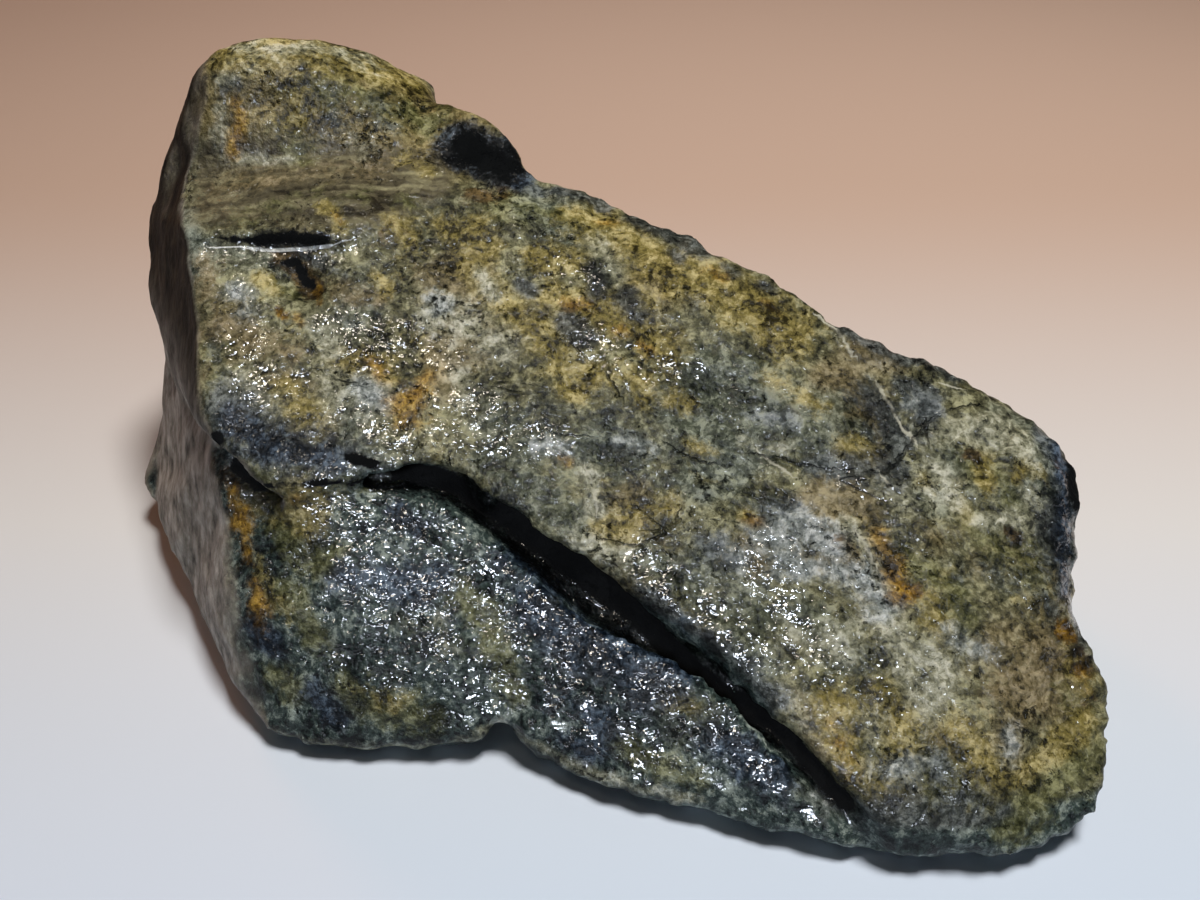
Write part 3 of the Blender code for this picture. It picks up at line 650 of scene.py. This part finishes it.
def relief_tree(material):
    """Geometry Nodes that push the skin in and out along its normals: lumps, crumbs, grains, layers
    and cracks, each fading out at the resting face."""
    tree = bpy.data.node_groups.new("jade_relief", "GeometryNodeTree")
    tree.interface.new_socket("Geometry", in_out="INPUT", socket_type="NodeSocketGeometry")
    for label, _ in RELIEF_INPUTS:
        tree.interface.new_socket(label, in_out="INPUT", socket_type="NodeSocketFloat")
    tree.interface.new_socket("Material", in_out="INPUT", socket_type="NodeSocketMaterial")
    tree.interface.new_socket("Geometry", in_out="OUTPUT", socket_type="NodeSocketGeometry")
    given = tree.nodes.new("NodeGroupInput").outputs

    def maths(operation, first, second=0.0, third=0.0):
        made = add(tree, "ShaderNodeMath", {0: first, 1: second, 2: third},
                   {"operation": operation})
        return made.outputs[0]

    def mask(name):
        made = add(tree, "GeometryNodeInputNamedAttribute", {"Name": name}, {"data_type": "FLOAT"})
        return made.outputs["Attribute"]

    def noise(position, length, detail, roughness):
        made = add(tree, "ShaderNodeTexNoise", Vector=position, Scale=maths("DIVIDE", 1.0, length),
                   Detail=detail, Roughness=roughness)
        return maths("SUBTRACT", made.outputs["Fac"], 0.5)

    place = add(tree, "ShaderNodeVectorMath", {0: tree.nodes.new("GeometryNodeInputPosition").outputs[0]},
                {"operation": "SCALE"}, Scale=1 / MM).outputs[0]
    front = mask("front")
    end = mask("end")
    bedded = mask("bedded")

    lumps = maths("MULTIPLY", noise(place, given["Lump Length"], 2.0, 0.45), given["Lump Height"])
    cells = add(tree, "ShaderNodeTexVoronoi", {}, {"feature": "SMOOTH_F1"}, Vector=place,
                Scale=maths("DIVIDE", 1.0, given["Crumb Length"]), Smoothness=0.35)
    crumbs = maths("MULTIPLY", maths("SUBTRACT", 0.45, cells.outputs["Distance"]), given["Crumb Height"])
    rough = maths("MULTIPLY_ADD", mask("jagged"), 1.6, maths("MULTIPLY_ADD", front, 0.9, 0.8))
    crumbs = maths("MULTIPLY", crumbs, rough)
    grains = maths("MULTIPLY", noise(place, given["Grain Length"], 3.0, 0.6), given["Grain Height"])
    broken = maths("MULTIPLY", maths("ADD", crumbs, grains), maths("MULTIPLY_ADD", end, -0.85, 1.0))

    turned = add(tree, "ShaderNodeVectorRotate", {"Vector": place, "Rotation": END_LAYERS_TURN},
                 {"rotation_type": "EULER_XYZ"}).outputs[0]
    end_place = add(tree, "ShaderNodeVectorMath", {0: turned, 1: (1 / LAYER_STRETCH, 1.0, 1.0)},
                    {"operation": "MULTIPLY"}).outputs[0]
    shelf_place = add(tree, "ShaderNodeVectorMath", {0: place, 1: (1 / LAYER_STRETCH, 1.0, 1.0)},
                      {"operation": "MULTIPLY"}).outputs[0]
    end_layers = maths("MULTIPLY", noise(end_place, given["Layer Length"], 2.0, 0.5), end)
    shelf_layers = maths("MULTIPLY", noise(shelf_place, given["Layer Length"], 2.0, 0.6), bedded)
    layers = maths("MULTIPLY", maths("ADD", end_layers, shelf_layers), given["Layer Height"])

    gap = maths("SUBTRACT", 1.0, maths("DIVIDE", maths("ABSOLUTE", mask("crack_side")), 2.5))
    gap = maths("MULTIPLY", maths("MAXIMUM", gap, 0.0), mask("crack_near"))
    gap = maths("MULTIPLY", gap, given["Crack Depth"])

    total = maths("SUBTRACT", maths("ADD", maths("ADD", lumps, broken), layers), gap)
    total = maths("MULTIPLY", maths("MULTIPLY", total, mask("off_ground")), MM)
    push = add(tree, "ShaderNodeVectorMath", {0: tree.nodes.new("GeometryNodeInputNormal").outputs[0]},
               {"operation": "SCALE"}, Scale=total).outputs[0]
    moved = add(tree, "GeometryNodeSetPosition", Geometry=given["Geometry"], Offset=push)
    real = add(tree, "GeometryNodeRealizeInstances", Geometry=moved.outputs[0])
    dressed = add(tree, "GeometryNodeSetMaterial", Geometry=real.outputs[0],
                  Material=given["Material"])
    add(tree, "NodeGroupOutput", Geometry=dressed.outputs[0])
    return tree


# ---------------------------------------------------------------------------------------------
# The stone's material.

# Each stain's dark, middle and light tone.
STAINS = {
    "tan": ("#2c2716", "#75694b", "#a6987a"),
    "olive": ("#24270f", "#5a5b38", "#94956b"),
    "slate": ("#0c0f10", "#31373a", "#71797c"),
    "ash": ("#13170f", "#4a5042", "#8f9583"),
    "navy": ("#010409", "#121c2b", "#53657b"),
    "ochre": ("#29240b", "#867a42", "#c9bb86"),
    "pale": ("#33342a", "#91927b", "#d5d5c6"),
    "frost": ("#2c3231", "#828b8b", "#cfd5d8"),
    "rust": ("#2a1c06", "#82611c", "#cda43c"),
    "umber": ("#0b0703", "#33260f", "#6a5430"),
}
BLUE_TONES = ("#131816", "#4f574f", "#98a198")
FRONT_TONES = ("#060c0d", "#3b4946", "#9aa69e")
END_TONES = ("#39342e", "#9a9288", "#d6d0c8")
# Painted shade: a darker copy of the end's tones for its upper part.
END_SHADED_TONES = ("#0c0906", "#231b13", "#463b2d")
SHOULDER_TONES = ("#1f1b0c", "#6a5f3a", "#a2956a")
SHELF_TONES = ("#27231a", "#5b5542", "#8f8a6c")
# How much of the water film is left where the stone is only damp.
DAMP = 0.12


def jade_material(colours):
    """Raw jade: a boulder of interlocked nephrite fibres with its weathered crust, split and wet.
    To the eye it is a mottled grey-green ground with pale crystal clouds, iron-brown soaked into
    the cracks, dark slate in the fresh breaks, and pin-sharp glints where water lies on it. Shade in
    the crevice, the slot, the recess and along the far edges, the shaded upper part of the left end,
    a highlight along the front's bottom edge and the glint on the slot's thread of water are painted
    into its colour."""
    material = bpy.data.materials.new(SLOT)
    material.use_nodes = True
    tree = material.node_tree
    tree.nodes.clear()

    def maths(operation, first, second=0.0, third=0.0, clamp=False):
        made = add(tree, "ShaderNodeMath", {0: first, 1: second, 2: third},
                   {"operation": operation, "use_clamp": clamp})
        return made.outputs[0]

    def vector(operation, first, second):
        """Vector maths. SCALE takes a number as its second value."""
        second_socket = "Scale" if operation == "SCALE" else 1
        made = add(tree, "ShaderNodeVectorMath", {0: first, second_socket: second},
                   {"operation": operation})
        return made.outputs[0]

    def mask(name):
        return add(tree, "ShaderNodeAttribute", {}, {"attribute_name": name}).outputs["Fac"]

    def noise(position, length, detail=4.0, roughness=0.6):
        """Fractal noise about 0, whose largest patches are that many millimetres across."""
        made = add(tree, "ShaderNodeTexNoise", Vector=position, Scale=1 / length, Detail=detail,
                   Roughness=roughness)
        return maths("SUBTRACT", made.outputs["Fac"], 0.5)

    def step(low, high, value):
        made = add(tree, "ShaderNodeMapRange", {"From Min": low, "From Max": high},
                   {"interpolation_type": "SMOOTHSTEP", "clamp": True}, Value=value)
        return made.outputs[0]

    def mix(share, first, second):
        made = add(tree, "ShaderNodeMix", {"Factor": share, 6: first, 7: second},
                   {"data_type": "RGBA", "clamp_factor": True})
        return made.outputs[2]

    def tones(value, three):
        """Dark, middle and light tone by the stone's own light and dark pattern."""
        made = add(tree, "ShaderNodeValToRGB", Fac=value)
        ramp = made.color_ramp
        ramp.elements[0].position = 0.08
        ramp.elements[1].position = 0.95
        middle = ramp.elements.new(0.5)
        for element, tone in zip((ramp.elements[0], middle, ramp.elements[-1]), three):
            element.color = opaque(linear(tone) if isinstance(tone, str) else tone)
        return made.outputs[0]

    place = vector("SCALE", add(tree, "ShaderNodeTexCoord").outputs["Object"], 1 / MM)
    bend = add(tree, "ShaderNodeTexNoise", Vector=place, Scale=1 / 6.0, Detail=2.0)
    bend = vector("SUBTRACT", bend.outputs["Color"], (0.5, 0.5, 0.5))
    bent = vector("ADD", place, vector("SCALE", bend, 3.0))

    def grains(width, amount, below):
        """Adds crystal grains that wide, each a little lighter or darker than its neighbours."""
        cells = add(tree, "ShaderNodeTexVoronoi", {}, {"feature": "F1"}, Vector=bent,
                    Scale=1 / width)
        shade = add(tree, "ShaderNodeSeparateColor", Color=cells.outputs["Color"])
        return maths("MULTIPLY_ADD", maths("SUBTRACT", shade.outputs[0], 0.5), amount, below)

    # Light and dark pattern: clouds, crystal grains, and pits between the grains.
    pattern = maths("MULTIPLY_ADD", noise(bent, 15.0, 4.0, 0.55), 1.3, 0.5)
    pattern = maths("MULTIPLY_ADD", noise(bent, 4.6, 5.0, 0.72), 1.55, pattern)
    pattern = maths("MULTIPLY_ADD", noise(place, 1.5, 3.0, 0.72), 1.5, pattern)
    pattern = grains(2.2, 0.28, pattern)
    pattern = grains(1.1, 0.3, pattern)
    crumbly = maths("MULTIPLY", noise(place, 20.0, 2.0, 0.5), 0.35)
    torn = noise(bent, 2.1, 4.0, 0.65)
    pits = step(0.1, 0.26, maths("ADD", torn, crumbly))
    pattern = maths("MULTIPLY_ADD", pits, -0.5, pattern)
    specks = step(0.12, 0.2, maths("ADD", noise(place, 1.3, 3.0, 0.7), crumbly))
    pattern = maths("MULTIPLY_ADD", specks, -0.4, pattern, clamp=True)

    ragged = noise(bent, 4.5, 6.0, 0.75)
    coarse = noise(bent, 13.0, 3.0, 0.5)
    edge = maths("MULTIPLY_ADD", ragged, 2.1, maths("MULTIPLY", coarse, 1.1))

    def stain(below, name, three, low=0.05, high=0.75, most=0.85):
        """Lays a stain over the colour below it, torn along its edge by the stone's grain."""
        share = step(low, high, maths("ADD", edge, mask(name)))
        share = maths("MULTIPLY", share, step(0.0, 0.15, mask(name)))
        return mix(maths("MULTIPLY", share, most), below, tones(pattern, three))

    # Slow drift between greener, browner and bluer ground, all round the stone.
    ground = tones(pattern, (colours.skin_dark, colours.skin_middle, colours.skin_light))
    drift = noise(place, 34.0, 3.0, 0.5)
    ground = mix(maths("MULTIPLY", step(0.02, 0.12, drift), 0.7), ground, tones(pattern, STAINS["tan"]))
    ground = mix(maths("MULTIPLY", step(-0.02, -0.12, drift), 0.8), ground, tones(pattern, BLUE_TONES))
    patches = noise(bent, 10.0, 5.0, 0.62)
    ground = mix(maths("MULTIPLY", step(0.08, 0.18, patches), 0.5), ground,
                 tones(pattern, STAINS["ochre"]))

    ground = mix(step(0.25, 0.6, mask("shoulder")), ground, tones(pattern, SHOULDER_TONES))
    streaks = vector("MULTIPLY", bent, (1 / 9.0, 1.0, 1.0))
    shelf_pattern = maths("MULTIPLY_ADD", noise(streaks, 2.6, 5.0, 0.6), 2.2, 0.5)
    shelf_pattern = grains(1.6, 0.3, shelf_pattern)
    ground = mix(step(0.2, 0.6, mask("bedded")), ground, tones(shelf_pattern, SHELF_TONES))
    for name in ("tan", "olive", "ash", "ochre", "pale", "frost", "slate", "navy"):
        ground = stain(ground, name, STAINS[name])

    # Under the ledge: fresh, dark and wet, with only some of the stains showing through.
    dark = tones(maths("ADD", pattern, -0.08), FRONT_TONES)
    for name in ("ash", "olive", "frost", "ochre", "pale"):
        dark = stain(dark, name, STAINS[name], 0.3, 0.95, 0.8)
    dark = stain(dark, "navy", STAINS["navy"], 0.2, 0.8, 0.9)
    ground = mix(mask("front"), ground, dark)
    ground = stain(ground, "umber", STAINS["umber"], 0.25, 0.65, 0.9)
    ground = stain(ground, "rust", STAINS["rust"], 0.1, 1.0, 0.82)

    # The left end: a smooth split face with long soft streaks, its upper part painted darker as shade.
    turned = add(tree, "ShaderNodeVectorRotate", {"Vector": place, "Rotation": END_LAYERS_TURN},
                 {"rotation_type": "EULER_XYZ"}).outputs[0]
    fibres = vector("MULTIPLY", turned, (1 / 12.0, 1.0, 1.0))
    fibre_pattern = maths("MULTIPLY_ADD", noise(fibres, 3.4, 5.0, 0.62), 2.0, 0.5)
    end_tones = mix(mask("end_shaded_top"), tones(fibre_pattern, END_TONES),
                    tones(fibre_pattern, END_SHADED_TONES))
    ground = mix(mask("end"), ground, end_tones)

    # Threads, cracks and the painted shade of the hollows, each broken up along its length.
    def thread(name, low, high, gaps):
        line = step(high, low, maths("ABSOLUTE", maths("MULTIPLY_ADD", torn, 5.0, mask(name + "_side"))))
        whole = step(-0.1 - gaps, 0.1 - gaps, noise(place, 6.0, 3.0, 0.6))
        return maths("MULTIPLY", maths("MULTIPLY", line, whole), mask(name + "_near"))

    vein = thread("vein", 0.2, 1.4, 0.04)
    ground = mix(maths("MULTIPLY", vein, 0.75), ground, opaque(linear("#c3c2b2")))
    crack = thread("crack", 0.1, 1.0, 0.0)
    ground = mix(maths("MULTIPLY", crack, 0.65), ground, opaque(linear("#0d0e0a")))
    # Painted shade: near black over the black marks, for the shade in the crevice, the slot and the
    # recess, and dirt in the small pits.
    shade_and_dirt = step(0.15, 0.6, maths("MULTIPLY_ADD", torn, 1.3, mask("black")))
    shade_and_dirt = maths("MULTIPLY", shade_and_dirt, step(0.0, 0.1, mask("black")))
    ground = mix(shade_and_dirt, ground, opaque(linear("#020303")))
    # Painted highlight: the slot's thread of water is painted near white, as the lamp's glint on it.
    painted_glint = maths("MULTIPLY", step(1.2, 0.7, maths("ABSOLUTE", mask("painted_glint_side"))), mask("painted_glint_near"))
    ground = mix(painted_glint, ground, opaque(linear("#f2f5f4")))

    # Fine relief that is too small for the skin's points.
    fine = maths("MULTIPLY_ADD", noise(place, 1.5, 3.0, 0.55), 0.5, maths("MULTIPLY", pits, -0.5))
    fine = maths("MULTIPLY", fine, maths("MULTIPLY_ADD", mask("end"), -0.75, 1.0))
    fine = maths("MULTIPLY_ADD", maths("MULTIPLY", fibre_pattern, mask("end")), 0.25, fine)
    fine = maths("MULTIPLY_ADD", crack, -0.6, fine)
    bump = add(tree, "ShaderNodeBump", Height=fine, Strength=1.0, Distance=1.3 * MM)

    # The water film lies smoother than the stone, in little waves over its grains.
    ripples = vector("MULTIPLY", bent, (0.5, 1.0, 1.0))
    film = maths("MULTIPLY_ADD", noise(ripples, 2.8, 1.0, 0.5), 0.7, noise(ripples, 1.3, 1.0, 0.5))
    swell = maths("MULTIPLY_ADD", noise(place, 13.0, 2.0, 0.5), 1.6, 0.75)
    swell = maths("MULTIPLY_ADD", mask("front"), 0.25, swell)
    height = add(tree, "ShaderNodeSeparateXYZ", Vector=place).outputs["Z"]
    film = maths("MULTIPLY", maths("MULTIPLY", film, swell), step(2.0, 22.0, height))
    film = maths("MULTIPLY_ADD", fine, 0.25, film)
    waves = add(tree, "ShaderNodeBump", Height=film, Strength=1.0, Distance=1.2 * MM)

    dry = maths("MULTIPLY_ADD", noise(bent, 8.0, 3.0, 0.5), 0.5, 0.42)
    dry = maths("MULTIPLY_ADD", mask("end"), 0.2, maths("MULTIPLY_ADD", shade_and_dirt, 0.5, dry))
    wet = step(0.1, 0.5, maths("MULTIPLY_ADD", coarse, 0.9, mask("soaked")))
    wet = maths("MAXIMUM", wet, maths("MULTIPLY_ADD", mask("front"), 0.12, DAMP))
    wet = maths("MULTIPLY", wet, maths("MULTIPLY_ADD", mask("end"), -0.85, 1.0))
    wet = maths("MULTIPLY", wet, step(0.65, 0.35, mask("black")))
    shader = add(tree, "ShaderNodeBsdfPrincipled", {
        "Base Color": ground, "Roughness": dry, "Normal": bump.outputs[0], "IOR": 1.5,
        "Specular IOR Level": 0.1, "Coat Weight": wet, "Coat Roughness": 0.06, "Coat IOR": 1.45,
        "Coat Normal": waves.outputs[0]})
    add(tree, "ShaderNodeOutputMaterial", Surface=shader.outputs[0])
    return material


# ---------------------------------------------------------------------------------------------
# Building the stone.

SKIN_ROUNDS = 5
SKIN_SOFTNESS = 0.5
FOOT_FADE = 2.5


def applied(piece, kind, **settings):
    """Adds a modifier, and turns the piece's evaluated mesh into its own."""
    modifier = piece.modifiers.new(kind.lower(), kind)
    for name, value in settings.items():
        setattr(modifier, name, value)
    return bake(piece)


def bake(piece):
    graph = bpy.context.evaluated_depsgraph_get()
    graph.update()
    mesh = bpy.data.meshes.new_from_object(piece.evaluated_get(graph))
    old = piece.data
    piece.modifiers.clear()
    piece.data = mesh
    bpy.data.meshes.remove(old)
    return piece


def raw_stone(relief):
    """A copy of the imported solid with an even, fine skin over its facets."""
    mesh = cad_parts[NODE].data.copy()
    mesh.materials.clear()
    shell = bmesh.new()
    shell.from_mesh(mesh)
    bmesh.ops.remove_doubles(shell, verts=shell.verts, dist=1e-6)
    shell.to_mesh(mesh)
    shell.free()
    piece = bpy.data.objects.new("raw_jade", mesh)
    bpy.context.scene.collection.objects.link(piece)
    applied(piece, "REMESH", mode="VOXEL", voxel_size=relief.cell * MM, use_smooth_shade=True)
    applied(piece, "SMOOTH", factor=SKIN_SOFTNESS, iterations=SKIN_ROUNDS)
    return piece


def paint_skin(mesh):
    """Stores the masks that the relief and the material read."""
    skin = Skin(mesh)
    x, y, z = skin.points.T
    low = np.array(CAD_LOW) / MM
    span = np.array(CAD_HIGH - CAD_LOW) / MM
    for name, marks in STAIN_MARKS.items():
        skin.paint(name, marks)
    skin.paint("shoulder", (Mark(30, 1.0, ((250, 90), (340, 110), (420, 130))),
                            Mark(20, 1.0, ((240, 60), (400, 100)))))
    skin.paint("bedded", (BEDDED, SHELF))
    skin.paint("jagged", (JAGGED,))
    skin.paint("soaked", WATER_MARKS)
    skin.draw("crack", CRACKS)
    skin.draw("vein", VEINS)
    skin.draw("painted_glint", PAINTED_GLINT_LINES, reach=1.5)
    front, drop, near = skin.below_ledge()
    end = smooth_step(0.45, 0.72, -skin.normals[:, 0]) * smooth_step(0.34, 0.28, (x - low[0]) / span[0])
    skin.store("front", front * (1 - end))
    skin.store("end", end)
    # Painted shade: the upper part of the left end.
    skin.store("end_shaded_top", end * smooth_step(0.36, 0.58, z / span[2]))
    skin.store("off_ground", smooth_step(0.3, FOOT_FADE, z))


def relieve(piece, relief, material):
    """Pushes the relief into the skin with Geometry Nodes and keeps the result as a plain mesh."""
    modifier = piece.modifiers.new("relief", "NODES")
    modifier.node_group = relief_tree(material)
    sockets = {item.name: item.identifier for item in modifier.node_group.interface.items_tree
               if item.in_out == "INPUT"}
    for label, field in RELIEF_INPUTS:
        modifier[sockets[label]] = getattr(relief, field)
    modifier[sockets["Material"]] = material
    piece.update_tag()
    bake(piece)
    for polygon in piece.data.polygons:
        polygon.use_smooth = True


class JADE_OT_stone(bpy.types.Operator):
    """Builds the stone's skin, with its relief, its marks and its wet finish"""

    bl_idname = "jade.stone"
    bl_label = "Build the stone"

    def execute(self, context):
        relief = context.scene.jade_relief
        piece = raw_stone(relief)
        paint_skin(piece.data)
        relieve(piece, relief, jade_material(context.scene.jade_colours))
        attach(piece, "root")
        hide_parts(NODE)
        return {"FINISHED"}


# ---------------------------------------------------------------------------------------------
# The stage.

FLOOR_REACH = 3.0
# Painted light on the table: where the cool daylight tint in front and the warm lamplight tint far off
# are full, along Y, and their colours.
TABLE_NEAR = -0.18
TABLE_FAR = 0.22
TABLE_DAYLIGHT_TINT = "#cfe0f6"
TABLE_LAMPLIGHT_TINT = "#c0a898"


def table_material(tone):
    """Matt painted board, pale, with mixed light painted into its colour: a cool daylight tint in front
    and a warmer, darker lamplight tint far off.
    """
    material = bpy.data.materials.new("pale_table")
    material.use_nodes = True
    tree = material.node_tree
    tree.nodes.clear()
    place = add(tree, "ShaderNodeTexCoord").outputs["Object"]
    depth = add(tree, "ShaderNodeSeparateXYZ", Vector=place).outputs["Y"]
    far = add(tree, "ShaderNodeMapRange", {"From Min": TABLE_NEAR, "From Max": TABLE_FAR},
              {"interpolation_type": "SMOOTHSTEP", "clamp": True}, Value=depth).outputs[0]
    cast = add(tree, "ShaderNodeValToRGB", Fac=far)
    cast.color_ramp.elements[0].color = opaque(linear(TABLE_DAYLIGHT_TINT))
    cast.color_ramp.elements[1].color = opaque(linear(TABLE_LAMPLIGHT_TINT))
    cast.color_ramp.elements.new(0.42).color = opaque(tone)
    shader = add(tree, "ShaderNodeBsdfPrincipled", {
        "Base Color": cast.outputs[0], "Roughness": 0.6, "Specular IOR Level": 0.3})
    add(tree, "ShaderNodeOutputMaterial", Surface=shader.outputs[0])
    return material


def lamp(name, place, target, width, power, tone, soft=True, glint=True):
    """A round lamp. One that isn't soft lights no matt surface, and one with no glint is not seen in
    a wet one."""
    light = bpy.data.lights.new(name, "AREA")
    light.shape = "DISK"
    light.size = width
    light.energy = power
    light.color = linear(tone)
    holder = bpy.data.objects.new(name, light)
    holder.location = place
    holder.rotation_euler = (Vector(target) - Vector(place)).to_track_quat("-Z", "Y").to_euler()
    holder.visible_diffuse = soft
    holder.visible_glossy = glint
    bpy.context.scene.collection.objects.link(holder)


class JADE_OT_stage(bpy.types.Operator):
    """Sets the pale table, the soft lights and the camera"""

    bl_idname = "jade.stage"
    bl_label = "Set the stage"

    def execute(self, context):
        scene = context.scene
        corners = [(-FLOOR_REACH, -FLOOR_REACH, 0), (FLOOR_REACH, -FLOOR_REACH, 0),
                   (FLOOR_REACH, FLOOR_REACH, 0), (-FLOOR_REACH, FLOOR_REACH, 0)]
        mesh = bpy.data.meshes.new("table")
        mesh.from_pydata(corners, [], [(0, 1, 2, 3)])
        mesh.materials.append(table_material(scene.jade_colours.table))
        floor = bpy.data.objects.new("table", mesh)
        scene.collection.objects.link(floor)

        middle = (CAD_LOW + CAD_HIGH) / 2
        lamp("key", middle + Vector((0.24, 0.08, 1.0)), middle, 0.28, 12.0, "#fffaf4", glint=False)
        lamp("bulb", middle + Vector((-1.8, 2.4, 1.2)), middle, 0.7, 18.0, "#ff9638", glint=False)
        lamp("ceiling", middle + Vector((-0.22, -0.18, 1.0)), middle, 0.16, 6.0, "#fff4e2", soft=False)
        lamp("window", middle + Vector((-0.05, -1.10, 1.0)), middle, 0.3, 36.0, "#e6f0ff", soft=False)
        world = bpy.data.worlds.new("room")
        world.use_nodes = True
        background = world.node_tree.nodes["Background"]
        background.inputs["Color"].default_value = opaque(linear("#c6d4e0"))
        background.inputs["Strength"].default_value = 0.022
        scene.world = world
        scene.view_settings.view_transform = "Standard"

        lens = bpy.data.cameras.new("camera")
        lens.lens = LENS
        lens.sensor_width = SENSOR
        lens.clip_start = 0.01
        camera = bpy.data.objects.new("camera", lens)
        camera.location = EYE
        camera.rotation_euler = (PITCH, 0, 0)
        scene.collection.objects.link(camera)
        scene.camera = camera
        return {"FINISHED"}


class JADE_PT_panel(bpy.types.Panel):
    """Lists the sizes, the colours and the two builders."""

    bl_label = "Raw jade boulder"
    bl_idname = "JADE_PT_panel"
    bl_space_type = "VIEW_3D"
    bl_region_type = "UI"
    bl_category = "Jade"

    def draw(self, context):
        for group in (context.scene.jade_relief, context.scene.jade_colours):
            for field in group.__annotations__:
                self.layout.prop(group, field)
        self.layout.operator(JADE_OT_stone.bl_idname)
        self.layout.operator(JADE_OT_stage.bl_idname)


CLASSES = (JADE_PG_relief, JADE_PG_colours, JADE_OT_stone, JADE_OT_stage, JADE_PT_panel)


def register():
    for kind in CLASSES:
        bpy.utils.register_class(kind)
    bpy.types.Scene.jade_relief = PointerProperty(type=JADE_PG_relief)
    bpy.types.Scene.jade_colours = PointerProperty(type=JADE_PG_colours)


def unregister():
    del bpy.types.Scene.jade_colours
    del bpy.types.Scene.jade_relief
    for kind in reversed(CLASSES):
        bpy.utils.unregister_class(kind)


def main():
    register()
    bpy.ops.jade.stone()
    bpy.ops.jade.stage()


if __name__ == "__main__":
    main()
